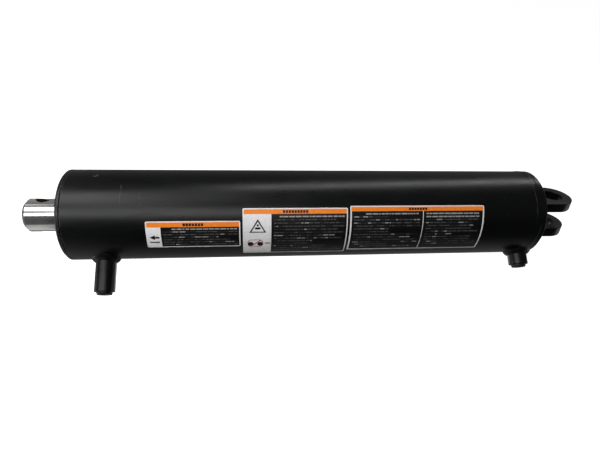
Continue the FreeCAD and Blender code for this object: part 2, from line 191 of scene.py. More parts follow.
def black_paint(name, peel=0.10, gloss=0.31, plate=False, marks=()):
    """Satin black enamel with orange peel, dust nibs, light rubbing and any light hoop marks it is
    given: scratches, and a painted highlight along chipped groove edges.
    """
    s = Shader(name)
    cloud = s.noise(9.0, 4.0)
    rubbed = s.noise(1.0, 5.0, 0.65, s.stretched((14.0, 60.0, 60.0)))
    dusty = s.noise(55.0, 5.0, 0.7)
    shade = s.blend(s.remap(cloud, 0.3, 0.7, 0.0, 1.0), PAINT_DARK, PAINT_LIGHT)
    rough = s.remap(rubbed, 0.35, 0.7, gloss - 0.04, gloss + 0.05)
    layers = [
        (s.noise(420.0, 2.0), peel, 0.0003),
        (s.remap(s.noise(150.0, 1.0), 0.74, 0.80, 0.0, 1.0), 0.35, 0.0002),
    ]
    if plate:
        drag = s.noise(1.0, 3.0, 0.6, s.stretched((900.0, 900.0, 45.0)))
        layers.append((drag, 0.35, 0.0004))
    # Light hoop marks: worn paint for the scratches, painted highlight for the lines beside the
    # gland's groove.
    if marks:
        worn_and_highlit = s.hoop_marks(marks)
        shade = s.blend(worn_and_highlit, shade, WORN_AND_HIGHLIGHT_GREY)
        layers.append((worn_and_highlit, 0.5, 0.0003))
    s.set(
        Base_Color=s.blend(s.remap(dusty, 0.62, 0.85, 0.0, 0.5), shade, PAINT_DUST),
        Roughness=rough,
    )
    s.bump(*layers)
    return s.material


def hard_chrome():
    """Ground and polished hard chrome with fine hoop marks."""
    s = Shader("hard_chrome")
    hoops = s.noise(1.0, 4.0, 0.7, s.stretched((5200.0, 30.0, 30.0)))
    haze = s.noise(38.0, 4.0)
    s.set(
        Base_Color=s.blend(s.remap(haze, 0.3, 0.7, 0.0, 1.0), grey(0.80, 0.012), grey(0.72, 0.02)),
        Metallic=1.0,
        Roughness=s.remap(haze, 0.3, 0.75, 0.10, 0.17),
    )
    s.bump((hoops, 0.12, 0.00002))
    return s.material


def bare_metal(name, tint, rough, hoop_scale=2500.0):
    """Turned steel or iron with tool marks round the axis."""
    s = Shader(name)
    marks = s.noise(1.0, 3.0, 0.6, s.stretched((hoop_scale, 40.0, 40.0)))
    stain = s.noise(60.0, 4.0)
    s.set(
        Base_Color=s.blend(s.remap(stain, 0.35, 0.7, 0.0, 1.0), tint, dimmed(tint, 0.7)),
        Metallic=1.0,
        Roughness=s.remap(marks, 0.3, 0.7, rough - 0.06, rough + 0.08),
    )
    s.bump((marks, 0.3, 0.00004))
    return s.material


def moulded(name, tint, rough, speckle=500.0, strength=0.08):
    """Rubber or plastic with fine grain and slight mottling."""
    s = Shader(name)
    mottle = s.noise(45.0, 3.0)
    s.set(
        Base_Color=s.blend(s.remap(mottle, 0.3, 0.7, 0.0, 1.0), tint, dimmed(tint, 0.8)),
        Roughness=s.remap(mottle, 0.3, 0.7, rough, rough + 0.08),
    )
    s.bump((s.noise(speckle, 2.0), strength, 0.0001))
    return s.material


def print_ink(name, tint, second=None, rough=0.34):
    """Laminated label print: faint screen mottling under a soft gloss."""
    s = Shader(name)
    mottle = s.noise(220.0, 3.0)
    second = second or dimmed(tint, 0.9)
    s.set(
        Base_Color=s.blend(s.remap(mottle, 0.35, 0.65, 0.0, 1.0), tint, second),
        Roughness=s.remap(s.noise(60.0, 3.0), 0.3, 0.7, rough, rough + 0.10),
    )
    s.bump((s.noise(130.0, 2.0), 0.05, 0.0002))
    return s.material


# ---------------------------------------------------------------- mesh helpers
def finished(name, mesh, body, slot, *materials, sharp=35.0):
    """Object from a mesh, smooth but for its sharp edges, riding on a body."""
    mesh.polygons.foreach_set("use_smooth", [True] * len(mesh.polygons))
    mesh.set_sharp_from_angle(angle=math.radians(sharp))
    for material in materials:
        mesh.materials.append(material)
    piece = bpy.data.objects.new(name, mesh)
    bpy.context.scene.collection.objects.link(piece)
    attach(piece, body)
    return piece


def rounded(corners, steps=5):
    """Closed outline with corners of (a, b, radius) turned into arcs."""
    points = []
    for index, (a, b, radius) in enumerate(corners):
        corner = Vector((a, b))
        before = Vector(corners[index - 1][:2]) - corner
        after = Vector(corners[(index + 1) % len(corners)][:2]) - corner
        if radius <= 0:
            points.append(corner)
            continue
        half = before.angle(after) / 2
        back = radius / math.tan(half)
        middle = (before.normalized() + after.normalized()).normalized()
        centre = corner + middle * (radius / math.sin(half))
        start = corner + before.normalized() * back - centre
        end = corner + after.normalized() * back - centre
        sweep = start.angle_signed(end)
        for step in range(steps + 1):
            spoke = start.copy()
            spoke.rotate(Matrix.Rotation(-sweep * step / steps, 2))
            points.append(centre + spoke)
    return points


MERGE_DISTANCE = 1e-7


def grid_mesh(name, rings):
    """Mesh that is closed both ways: rings of points, each ring a closed outline."""
    count, size = len(rings), len(rings[0])
    points = [point for ring in rings for point in ring]
    faces = []
    for i in range(count):
        this, other = i * size, (i + 1) % count * size
        for j in range(size):
            k = (j + 1) % size
            faces.append((this + j, this + k, other + k, other + j))
    mesh = bpy.data.meshes.new(name)
    mesh.from_pydata(points, [], faces)
    tidy = bmesh.new()
    tidy.from_mesh(mesh)
    bmesh.ops.remove_doubles(tidy, verts=tidy.verts, dist=MERGE_DISTANCE)
    bmesh.ops.recalc_face_normals(tidy, faces=tidy.faces)
    tidy.to_mesh(mesh)
    tidy.free()
    return mesh


MOUTH_DEPTH = 0.003          # counterbore between a port's mouth and its thread


class Port:
    """A port's own directions and heights, read from its mount."""

    def __init__(self, mount):
        centre = Vector(MOUNTS[mount]["pos_m"])
        dims = MOUNTS[mount]["dims"]
        self.x = centre.x
        self.out = Vector(MOUNTS[mount]["axis"]).normalized()
        self.across = self.out.cross(ALONG)
        self.tap_r, self.tap_length = dims["r_mm"] * MM, dims["length_mm"] * MM
        self.thread_end = centre.dot(self.out) - self.tap_length / 2
        self.thread_start = centre.dot(self.out) + self.tap_length / 2
        self.mouth = self.thread_start + MOUTH_DEPTH

    def at(self, height, radius, turn, lift=0.0):
        """Point at a height above the cylinder's axis, on a circle about the port's axis."""
        spoke = ALONG * math.cos(turn) + self.across * math.sin(turn)
        return Vector((self.x, 0, 0)) + self.out * (height + lift) + spoke * radius

    def on_barrel(self, radius, turn, lift=0.0):
        """Point of the barrel's surface under a circle about the port's axis."""
        height = math.sqrt(BARREL_R ** 2 - (radius * math.sin(turn)) ** 2)
        return self.at(height, radius, turn, lift)


def turned_on_port(name, port, outline, segments=96, radius_of=None):
    """Lathe about a port's axis; the outline is (height, radius) points in metres."""
    rings = []
    for index in range(segments):
        turn = 2 * math.pi * index / segments
        rings.append([
            port.at(height, radius_of(height, radius, turn) if radius_of else radius, turn)
            for height, radius in outline
        ])
    return grid_mesh(name, rings)


# ---------------------------------------------------------------- weld beads
BEAD_SHARP = 80              # degrees; ripples stay smooth below it
TOE_SUNK = 0.0002            # how deep a bead's edges lie in the metal beside it
SWAY_KEPT, SWAY_STEP = 0.92, 0.00009


def ripple(distance, across, pitch):
    """Height of a weld's fish-scale ripples, 0 to 1; each scale is a bowed step."""
    phase = distance / pitch + 0.9 * (2 * across - 1) ** 2
    saw = phase - math.floor(phase)
    return saw ** 0.6 * (1 - saw) ** 0.25 * 1.4


def fillet_bead(name, stations, rough=0.00028, bulge=0.0007, pitch=0.0021, slices=12):
    """Bead in an inside corner. A station is (root, toe on one face, toe on the other)."""
    wander = random.Random(name)
    rings = []
    distance = 0.0
    sway = 0.0
    for index, (root, foot, top) in enumerate(stations):
        distance += (foot - stations[index - 1][1]).length
        sway = SWAY_KEPT * sway + wander.uniform(-SWAY_STEP, SWAY_STEP)
        out = ((foot - root) + (top - root)).normalized()
        ring = [root]
        for step in range(slices + 1):
            t = step / slices
            swell = math.sin(math.pi * t)
            waves = (rough * ripple(distance, t, pitch) + sway) * min(1.0, 3 * swell)
            ring.append(foot.lerp(top, t) + out * (bulge * swell + waves))
        rings.append(ring)
    return grid_mesh(name, rings)


def port_weld(name, port, leg, paint):
    """Saddle-shaped fillet bead at the foot of a port stub."""
    low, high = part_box(name.replace("weld", "stub"))
    stub_r = (high.x - low.x) / 2
    root_in_stub, root_in_barrel, turns = 0.0008, 0.0012, 360
    wander = random.Random(name + "_legs")
    beats = [wander.uniform(0, 2 * math.pi) for _ in range(3)]
    stations = []
    for index in range(turns):
        turn = 2 * math.pi * index / turns
        uneven = sum(math.sin((k + 2) * turn + beat) for k, beat in enumerate(beats)) / 3
        reach = leg * (1 + 0.09 * uneven)
        climb = leg * (1 - 0.07 * uneven)
        root = port.on_barrel(stub_r - root_in_stub, turn, -root_in_barrel)
        foot = port.on_barrel(stub_r + reach, turn, -TOE_SUNK)
        top = port.on_barrel(stub_r, turn, climb)
        top += (top - port.at(top.dot(port.out), 0, 0)).normalized() * -TOE_SUNK
        stations.append((root, foot, top))
    mesh = fillet_bead(name, stations)
    piece = finished(name + "_bead", mesh, "barrel", "weld_paint", paint, sharp=BEAD_SHARP)
    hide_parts(name)


def ear_station(root, side, leg):
    """Root, toe on the cap and toe on the ear of a bead, at one place along it."""
    root_in_ear = 0.0006
    top = root + Vector((leg, 0, 0)) - side * TOE_SUNK
    return (root - side * root_in_ear, root + side * leg, top)


def ear_weld(name, ear, leg, paint):
    """Fillet bead all round the foot of a clevis ear."""
    low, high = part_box(ear)
    corners = [(low.y, low.z, 180), (high.y, low.z, 270), (high.y, high.z, 0), (low.y, high.z, 90)]
    stations = []
    face_x = BASE_X - 0.0003     # a little inside the cap's face
    corner_steps, spacing = 12, 0.0005
    for index, (y, z, start) in enumerate(corners):
        next_y, next_z, _ = corners[(index + 1) % 4]
        for step in range(corner_steps + 1):
            angle = math.radians(start + 90 * step / corner_steps)
            side = Vector((0, math.cos(angle), math.sin(angle)))
            stations.append(ear_station(Vector((face_x, y, z)), side, leg))
        angle = math.radians(start + 90)
        side = Vector((0, math.cos(angle), math.sin(angle)))
        length = abs(next_y - y) + abs(next_z - z)
        count = int(length / spacing)
        for step in range(1, count):
            root = Vector((face_x, y, z)).lerp(Vector((face_x, next_y, next_z)), step / count)
            stations.append(ear_station(root, side, leg))
    mesh = fillet_bead(name, stations)
    piece = finished(name + "_bead", mesh, "barrel", "weld_paint", paint, sharp=BEAD_SHARP)
    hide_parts(name)


def girth_weld(paint):
    """Machine-laid crowned bead between the base cap and the tube."""
    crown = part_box("base_weld")[1].z - BARREL_R
    middle, half_width = BASE_X - 0.014, 0.0046
    root_depth, toe_depth, pitch = 0.002, 0.00006, 0.0030
    segments, slices = 720, 14
    rings = []
    for index in range(segments):
        angle = 360 * index / segments
        turn = math.radians(angle)
        drift = 0.00025 * math.sin(turn * 5 + 1) + 0.00015 * math.sin(turn * 11)
        ring = [around(middle - half_width, angle, BARREL_R - root_depth)]
        for step in range(slices + 1):
            t = step / slices
            swell = math.sin(math.pi * t)
            waves = 0.3 * ripple(turn * BARREL_R, t, pitch) * min(1.0, 3 * swell)
            lift = crown * (0.62 * swell ** 0.8 + waves)
            x = middle + drift + half_width * (2 * t - 1)
            ring.append(around(x, angle, BARREL_R - toe_depth + lift))
        ring.append(around(middle + half_width, angle, BARREL_R - root_depth))
        rings.append(ring)
    mesh = grid_mesh("base_girth_bead", rings)
    piece = finished("base_girth_bead", mesh, "barrel", "weld_paint", paint, sharp=BEAD_SHARP)
    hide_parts("base_weld")


def paint_nibs(spots, paint):
    """Specks of dust caught in the enamel: low smooth domes at (distance from the head, angle)."""
    radius, height = 0.0013, 0.00035
    sides, steps = 16, 5
    shape = bmesh.new()
    for reach, angle in spots:
        centre = around(HEAD_X + reach, angle, BARREL_R)
        out = (centre - Vector((centre.x, 0, 0))).normalized()
        across = out.cross(ALONG)
        rings = []
        for step in range(steps):
            share = step / steps
            lift = height * (1 - share ** 2) - 0.00005 * share
            ring = []
            for side in range(sides if step else 1):
                turn = 2 * math.pi * side / sides
                spoke = ALONG * math.cos(turn) + across * math.sin(turn)
                ring.append(shape.verts.new(centre + radius * share * spoke + out * lift))
            rings.append(ring)
        sunk = out * (height * 0.9)
        foot = [shape.verts.new(v.co + (v.co - centre) * 0.25 - sunk) for v in rings[-1]]
        rings.append(foot)
        for side in range(sides):
            near = (side + 1) % sides
            shape.faces.new((rings[0][0], rings[1][side], rings[1][near]))
            for inner, outer in zip(rings[1:], rings[2:]):
                shape.faces.new((inner[side], outer[side], outer[near], inner[near]))
        shape.faces.new(foot[::-1])
    bmesh.ops.recalc_face_normals(shape, faces=shape.faces)
    mesh = bpy.data.meshes.new("paint_nibs")
    shape.to_mesh(mesh)
    shape.free()
    finished("paint_nibs", mesh, "barrel", "barrel_paint", paint)


# ---------------------------------------------------------------- clevis ears
TIP_STEPS, SIDE_STEPS, EDGE_STEPS = 96, 24, 5
EAR_EDGE, HOLE_CHAMFER = 0.0011, 0.0008
TINY = 1e-9


def ear_turns(corner):
    """Angles about the pin, in degrees: round the tip, down one side, the foot, up the other."""
    turns = [-90 + 180 * i / TIP_STEPS for i in range(TIP_STEPS)]
    turns += [90 + (180 - corner - 90) * i / SIDE_STEPS for i in range(SIDE_STEPS)]
    turns += [180 - corner + 2 * corner * i / SIDE_STEPS for i in range(SIDE_STEPS)]
    turns += [180 + corner + (90 - corner) * i / SIDE_STEPS for i in range(SIDE_STEPS)]
    return turns


def ear_edge(spoke, low, high):
    """Where a spoke from the pin leaves the ear, and which way the ear's edge faces there."""
    if spoke.x >= 0:
        return spoke * high.y, spoke
    to_side = high.y / max(abs(spoke.y), TINY)
    reach = min(to_side, -low.x / -spoke.x)
    on_foot = reach < to_side - TINY
    return spoke * reach, Vector((0, 0 if on_foot else math.copysign(1, spoke.y), 0))


def ear_section(spoke, low, high, hole_r):
    """Outline of the ear cut along a spoke: pin hole, upper face, round edge, lower face."""
    outer, normal = ear_edge(spoke, low, high)
    hole, lip = spoke * hole_r, spoke * HOLE_CHAMFER
    ring = [
        hole + Vector((0, 0, low.z + HOLE_CHAMFER)), hole + Vector((0, 0, high.z - HOLE_CHAMFER)),
        hole + lip + Vector((0, 0, high.z)),
    ]
    bends = [math.radians(90 * step / EDGE_STEPS) for step in range(EDGE_STEPS + 1)]
    for bend in bends:
        inset, drop = EAR_EDGE * (1 - math.sin(bend)), EAR_EDGE * (1 - math.cos(bend))
        ring.append(outer - normal * inset + Vector((0, 0, high.z - drop)))
    for bend in bends:
        inset, rise = EAR_EDGE * (1 - math.cos(bend)), EAR_EDGE * (1 - math.sin(bend))
        ring.append(outer - normal * inset + Vector((0, 0, low.z + rise)))
    ring.append(hole + lip + Vector((0, 0, low.z)))
    return ring


def clevis_ear(name, paint):
    """Flame-cut plate ear with softened edges and a chamfered pin hole."""
    low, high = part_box(name)
    hole_r = MOUNTS["base_clevis"]["dims"]["r_mm"] * MM
    rings = []
    for degrees in ear_turns(math.degrees(math.atan2(high.y, -low.x))):
        turn = math.radians(degrees)
        spoke = Vector((math.cos(turn), math.sin(turn), 0))
        rings.append(ear_section(spoke, low, high, hole_r))
    mesh = grid_mesh(name, rings)
    piece = finished(name + "_plate", mesh, "barrel", "clevis_paint", paint, sharp=25)
    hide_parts(name)


# ---------------------------------------------------------------- ports and plugs
def port_stub(name, port, paint):
    """Heavy tube with a real thread behind its counterbored mouth and a wider bore below."""
    low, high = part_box(name)
    radius = (high.x - low.x) / 2
    relief_r, mouth_r, pitch, depth = 0.0096, 0.01075, 0.0018, 0.0011
    foot, run_out, samples_per_turn = BARREL_R - 0.0030, 0.0003, 8
    outline = rounded([
        (foot, radius, 0), (port.mouth, radius, 0.0009), (port.mouth, mouth_r, 0.0004),
        (port.thread_start, mouth_r, 0),
    ])
    samples = int(port.tap_length / (pitch / samples_per_turn))
    for i in range(samples + 1):
        height = port.thread_start - port.tap_length * i / samples
        outline.append(Vector((height, port.tap_r)))
    outline += [Vector((port.thread_end - run_out, relief_r)), Vector((foot, relief_r))]

    def threaded(height, plain, turn):
        """Radius at a place in the bore: the thread's flank, or the plain wall."""
        if plain != port.tap_r:
            return plain
        fade_in = (port.thread_start - height) / pitch + 0.3
        fade = min(1.0, fade_in, (height - port.thread_end) / pitch)
        phase = (height / pitch + turn / (2 * math.pi)) % 1.0
        return port.tap_r + depth * max(0.0, fade) * (1 - abs(2 * phase - 1)) ** 0.9

    mesh = turned_on_port(name, port, outline, 128, threaded)
    piece = finished(name + "_boss", mesh, "barrel", "port_paint", paint, sharp=32)
    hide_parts(name)


def port_plug(name, port, plastic):
    """Moulded dust plug: ribbed shank, tapered glossy head, finger recess with a gate nub."""
    head_r, shank_r, head = 0.0115, 0.01062, 0.0045
    profile = (
        (-0.0027, 0.0, 0), (-0.0027, shank_r - 0.0004, 0.0003), (-0.0018, shank_r, 0.0001),
        (-0.0010, shank_r - 0.0003, 0.0001), (-0.0004, shank_r, 0.0001), (0.0001, shank_r, 0),
        (0.0001, head_r, 0.0002), (0.0016, head_r, 0.0005), (head, head_r - 0.0009, 0.0009),
        (head, 0.0074, 0.0006), (0.0009, 0.0069, 0.0008), (0.0009, 0.0013, 0.0002),
        (0.0015, 0.0010, 0.0002), (0.0015, 0.0, 0),
    )
    outline = rounded([(port.mouth + rise, radius, bend) for rise, radius, bend in profile])
    mesh = turned_on_port(name, port, outline)
    piece = finished(name + "_cap", mesh, name, "plug_plastic", plastic, sharp=40)
    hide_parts(name)


# ---------------------------------------------------------------- labels
class Label:
    """A printed sheet on the barrel, drawn flat in millimetres and then wrapped.

    u runs along the barrel from the rod's end, v runs down the front from the sheet's top edge.
    Each layer of ink lies a hair above the one before it."""

    LAYER = 0.012            # thickness of one ink
    SHEET = 0.22             # thickness of the bare sheet
    STRIP = 2.0              # width of the strips it is cut into, to bend
    CORNER = 2.2

    def __init__(self, name, inks):
        """Blank white sheet the size of its CAD node."""
        self.name = name
        self.inks = list(inks)
        self.low, self.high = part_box(name)
        outer = BARREL_R + 0.3 * MM
        self.first = math.degrees(math.acos(self.high.z / outer))
        self.last = math.degrees(math.acos(self.low.z / outer))
        self.width = (self.high.x - self.low.x) / MM
        self.height = math.radians(self.last - self.first) * BARREL_R / MM
        self.flat = bmesh.new()
        outline = self.corner_points(0, 0, self.width, self.height, self.CORNER)
        self.polygon(outline, 0, "white")
        count = len(outline)
        low, top = (
            [self.flat.verts.new((u, v, level)) for u, v in outline] for level in (0.0, self.SHEET)
        )
        for i in range(count):
            j = (i + 1) % count
            side = self.flat.faces.new((low[i], low[j], top[j], top[i]))
            side.material_index = self.index("white")

    def index(self, ink):
        """Place of an ink among the sheet's materials."""
        return self.inks.index(ink)

    @staticmethod
    def corner_points(u0, v0, u1, v1, radius, steps=6):
        """Rectangle with round corners, as a closed list of (u, v)."""
        points = []
        for cu, cv, start in ((u1 - radius, v0 + radius, -90), (u1 - radius, v1 - radius, 0),
                              (u0 + radius, v1 - radius, 90), (u0 + radius, v0 + radius, 180)):
            for step in range(steps + 1):
                turn = math.radians(start + 90 * step / steps)
                points.append((cu + radius * math.cos(turn), cv + radius * math.sin(turn)))
        return points

    def polygon(self, outline, layer, ink):
        """Patch of one ink, on a layer counted up from the sheet."""
        level = self.SHEET + layer * self.LAYER
        face = self.flat.faces.new([self.flat.verts.new((u, v, level)) for u, v in outline])
        face.material_index = self.index(ink)

    def block(self, u0, v0, u1, v1, layer, ink, radius=0.0):
        """Rectangle, with round corners if it has a radius."""
        if radius > 0:
            self.polygon(self.corner_points(u0, v0, u1, v1, radius), layer, ink)
        else:
            self.polygon([(u0, v0), (u1, v0), (u1, v1), (u0, v1)], layer, ink)

    def disc(self, u, v, radius, layer, ink, sides=28):
        """Round patch."""
        turns = [2 * math.pi * i / sides for i in range(sides)]
        outline = [(u + radius * math.cos(t), v + radius * math.sin(t)) for t in turns]
        self.polygon(outline, layer, ink)

    def ruled_lines(self, u0, v0, u1, v1, rows, layer, bold=1, seed=0, bar=0.30):
        """Rows of broken bars that stand in for small print."""
        dice = random.Random(f"{self.name}{seed}")
        pitch = (v1 - v0) / rows
        for row in range(rows):
            heading = row < bold
            v = v0 + row * pitch
            tall = pitch * (bar + (0.10 if heading else 0.0))
            end = u1 - (0 if heading else dice.choice([0, 0, 0.1, 0.25, 0.45])) * (u1 - u0)
            u = u0 + (dice.uniform(0.05, 0.2) * (u1 - u0) if heading and bold == 1 else 0)
            while u < end - 2.5:
                length = min(dice.uniform(2.2, 9.5), end - u)
                bright = heading or dice.random() < 0.12
                ink = "bright_bar" if bright else dice.choice(["bar", "bar", "dim_bar"])
                self.block(u, v, u + length, v + tall, layer, ink)
                u += length + dice.uniform(0.9, 1.6)

    def finish(self, materials):
        """Cuts the flat drawing into narrow strips, wraps it round the barrel and hands it over."""
        for strip in range(1, int(self.height / self.STRIP) + 1):
            geometry = self.flat.verts[:] + self.flat.edges[:] + self.flat.faces[:]
            bmesh.ops.bisect_plane(self.flat, geom=geometry, dist=1e-6,
                                   plane_co=(0, strip * self.STRIP, 0), plane_no=(0, 1, 0))
        for vert in self.flat.verts:
            u, v, level = vert.co
            angle = self.first + math.degrees(v * MM / BARREL_R)
            vert.co = around(self.low.x + u * MM, angle, BARREL_R + level * MM)
        for face in self.flat.faces:
            face.normal_update()
            outward = Vector((0, face.calc_center_median().y, face.calc_center_median().z))
            if abs(face.normal.dot(outward.normalized())) > 0.5 and face.normal.dot(outward) < 0:
                face.normal_flip()
        mesh = bpy.data.meshes.new(self.name)
        self.flat.to_mesh(mesh)
        self.flat.free()
        piece = finished(self.name + "_sheet", mesh, "barrel", "label_print", *materials, sharp=20)
        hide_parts(self.name)


def header(label, height, title_bars):
    """Orange strip with plain dark bars in its middle, where a heading would be."""
    edge, bar, gap = 1.6, 3.4, 0.9
    label.block(edge, edge, label.width - edge, height, 1, "orange")
    start = label.width / 2 - title_bars * (bar + gap) / 2
    for index in range(title_bars):
        u = start + index * (bar + gap)
        label.block(u, edge + 1.6, u + bar, height - 1.4, 2, "black")


def pinch_label(inks, materials):
    """Small sheet by the rod's end: an arrow over a bar, and a field of ruled bars."""
    label = Label("pinch_label", inks)
    edge, top, panel = 1.6, 8.8, 21.0
    header(label, top, 7)
    label.block(panel, top, label.width - edge, label.height - edge, 1, "black")
    label.ruled_lines(panel + 3, top + 2.2, label.width - 4, label.height - 2, 7, 2)
    middle = (top + label.height) / 2
    label.polygon([(4.5, middle - 1), (12, middle - 5), (12, middle - 2.4), (18.5, middle - 2.4),
                   (18.5, middle + 0.6), (12, middle + 0.6), (12, middle + 3)], 2, "black")
    label.block(4.5, middle + 6, 18.5, middle + 8.2, 2, "black")
    label.finish(materials)


def pressure_label(inks, materials):
    """Middle sheet: a triangle over two discs with a bar across, and a field of ruled bars."""
    label = Label("pressure_label", inks)
    edge, top, panel = 1.6, 8.7, 42.0
    header(label, top, 9)
    label.block(panel, top, label.width - edge, label.height - edge, 1, "black")
    label.ruled_lines(panel + 4, top + 3, label.width - 5, label.height - 4, 13, 2)
    peak, base_v, half = (22.0, 16.0), 37.0, 12.5
    label.polygon([peak, (peak[0] + half, base_v), (peak[0] - half, base_v)], 2, "black")
    label.polygon([(peak[0], peak[1] + 4.0), (peak[0] + half - 3.2, base_v - 1.7),
                   (peak[0] - half + 3.2, base_v - 1.7)], 3, "white")
    label.block(peak[0] - 4.2, base_v - 8.5, peak[0] + 4.2, base_v - 5.2, 4, "black", 1.2)
    label.disc(peak[0], base_v - 11.5, 1.7, 4, "black")
    low = 56.0
    label.block(7, low - 7, 30, low + 7.5, 2, "red", 5.5)
    label.block(8, low - 6, 29, low + 6.5, 3, "white", 4.8)
    label.disc(11.5, low + 1.5, 4.2, 4, "black")
    label.disc(25.5, low + 1.5, 4.2, 4, "black")
    label.polygon([(10, low + 7), (11.5, low + 7.6), (27.5, low - 6), (26, low - 6.6)], 5, "red")
    label.block(33, low - 1, 40.5, low + 1, 2, "black")
    label.finish(materials)


def service_label(inks, materials):
    """Long sheet: two fields of ruled bars with a white line between them."""
    label = Label("service_label", inks)
    edge, top, divider = 2.2, 8.3, 114.0
    header(label, top, 7)
    label.block(edge, top, label.width - edge, label.height - edge, 1, "black")
    label.block(divider - 0.5, top, divider + 0.5, label.height - edge, 2, "white")
    label.ruled_lines(6, top + 3, divider - 5, label.height - 5, 13, 3, seed="left")
    right = divider + 5, top + 3, label.width - 8, label.height - 9
    label.ruled_lines(*right, 12, 3, bold=2, seed="right")
    label.finish(materials)


# ---------------------------------------------------------------- materials
# Light hoop marks: (station, first angle, last angle, width). The first two are scratches. The two
# beside the gland's groove run all round and are a painted highlight on the groove's chamfered
# edges, broken up like chipped paint.
HOOP_SCRATCHES_AND_GROOVE_HIGHLIGHTS = [
    (HEAD_X + 0.0885, 22, 48, 0.0011), (HEAD_X + 0.1155, 34, 49, 0.0009),
    (HEAD_X + 0.0050, -170, 170, 0.0010), (HEAD_X + 0.0079, -170, 170, 0.0008),
]
PAINT = black_paint("barrel_paint_satin", marks=HOOP_SCRATCHES_AND_GROOVE_HIGHLIGHTS)
WELD_PAINT = black_paint("weld_paint_satin", peel=0.06, gloss=0.28)
PLATE_PAINT = black_paint("plate_paint_satin", peel=0.14, gloss=0.36, plate=True)
CHROME = hard_chrome()
SCREW = bare_metal("zinc_screw", grey(0.60), 0.28)
IRON = bare_metal("machined_iron", grey(0.32), 0.40)
NUT = bare_metal("plain_nut_steel", grey(0.50), 0.30)
RUBBER = moulded("nitrile_rubber", grey(0.016), 0.52)
URETHANE = moulded("seal_urethane_black", grey(0.022), 0.38)
NYLON = moulded("filled_nylon", (0.34, 0.31, 0.22, 1.0), 0.50)
SLIDE = moulded("bronze_filled_slide_ring", (0.30, 0.16, 0.07, 1.0), 0.45)
PLASTIC = moulded("dust_plug_plastic", grey(0.010), 0.16, 300.0, 0.03)

CAD_MATERIALS = {
    PAINT: ("barrel_tube", "base_cap", "head_gland"),
    SCREW: ("bleed_screw",),
    CHROME: ("piston_rod",),
    IRON: ("piston",),
    NUT: ("piston_nut",),
    RUBBER: ("gland_o_ring", "piston_rod_o_ring", "piston_seal_spring"),
    URETHANE: ("rod_u_cup", "rod_wiper"),
    NYLON: ("outer_rod_wear_band", "inner_rod_wear_band", "gland_backup_ring",
            "rear_piston_wear_ring", "front_piston_wear_ring"),
    SLIDE: ("piston_seal",),
}
for material, names in CAD_MATERIALS.items():
    for cad_name in names:
        node = frame["nodes"][cad_name]
        for index in range(len(node.material_slots)):
            node.material_slots[index].material = material

INKS = {
    "white": print_ink("label_white", grey(0.72)),
    "orange": print_ink("label_orange", (0.78, 0.215, 0.022, 1.0), (0.72, 0.18, 0.018, 1.0)),
    "black": print_ink("label_black", grey(0.004)),
    "bright_bar": print_ink("label_bright_bar", grey(0.32)),
    "bar": print_ink("label_bar", grey(0.085)),
    "dim_bar": print_ink("label_dim_bar", grey(0.030)),
    "red": print_ink("label_red", (0.36, 0.05, 0.06, 1.0)),
}

# ---------------------------------------------------------------- the object
ROD_PORT, BASE_PORT = Port("rod_port"), Port("base_port")
WELD_LEG, EAR_WELD_LEG = 0.0065, 0.0058
port_weld("rod_port_weld", ROD_PORT, WELD_LEG, WELD_PAINT)
port_weld("base_port_weld", BASE_PORT, WELD_LEG, WELD_PAINT)
ear_weld("upper_ear_weld", "upper_clevis_ear", EAR_WELD_LEG, WELD_PAINT)
ear_weld("lower_ear_weld", "lower_clevis_ear", EAR_WELD_LEG, WELD_PAINT)
girth_weld(WELD_PAINT)
paint_nibs([(0.1764, 63.4), (0.6709, 42.2), (0.6763, 64.5)], PAINT)
clevis_ear("upper_clevis_ear", PLATE_PAINT)
clevis_ear("lower_clevis_ear", PLATE_PAINT)
port_stub("rod_port_stub", ROD_PORT, PAINT)
port_stub("base_port_stub", BASE_PORT, PAINT)
port_plug("rod_port_plug", ROD_PORT, PLASTIC)
port_plug("base_port_plug", BASE_PORT, PLASTIC)
for draw in (pinch_label, pressure_label, service_label):
    draw(INKS.keys(), INKS.values())


# ---------------------------------------------------------------- stage, light and camera
def pale_floor(drop):
    """Wide pale floor, bright of itself, that the dark paint doesn't mirror."""
    mesh = bpy.data.meshes.new("pale_floor")
    size, level = 30.0, CAD_BOX[0][2] - drop
    corners = ((-size, -size), (size, -size), (size, size), (-size, size))
    mesh.from_pydata([(x, y, level) for x, y in corners], [], [(0, 1, 2, 3)])
    floor = bpy.data.objects.new("pale_floor", mesh)
    s = Shader("floor_white")
    s.set(Base_Color=grey(0.5), Roughness=0.9, Emission_Color=grey(1.0), Emission_Strength=0.96)
    mesh.materials.append(s.material)
    bpy.context.scene.collection.objects.link(floor)
    floor.visible_glossy = False
    floor.visible_diffuse = False


# Soft light all round the cylinder's axis: (degrees from +Z towards the front, level).
STUDIO = [
    (-180, 0.20), (-150, 0.20), (-110, 0.12), (-60, 0.12), (-42, 0.07), (-20, 0.04), (0, 0.04),
    (40, 0.05), (72, 0.04), (88, 0.015), (138, 0.015), (150, 0.10), (165, 0.20), (180, 0.20),
]


def turn_share(tree):
    """Socket with the angle of a direction about X, carried from 0 at -180 degrees to 1."""
    link = tree.links.new
    place = tree.nodes.new("ShaderNodeTexCoord")
    split = tree.nodes.new("ShaderNodeSeparateXYZ")
    link(place.outputs["Generated"], split.inputs[0])
    front = tree.nodes.new("ShaderNodeMath")
    front.operation = "MULTIPLY"
    front.inputs[1].default_value = -1.0
    link(split.outputs["Y"], front.inputs[0])
    angle = tree.nodes.new("ShaderNodeMath")
    angle.operation = "ARCTAN2"
    link(front.outputs[0], angle.inputs[0])
    link(split.outputs["Z"], angle.inputs[1])
    share = tree.nodes.new("ShaderNodeMapRange")
    share.inputs["From Min"].default_value = -math.pi
    share.inputs["From Max"].default_value = math.pi
    link(angle.outputs[0], share.inputs["Value"])
    return share.outputs["Result"]


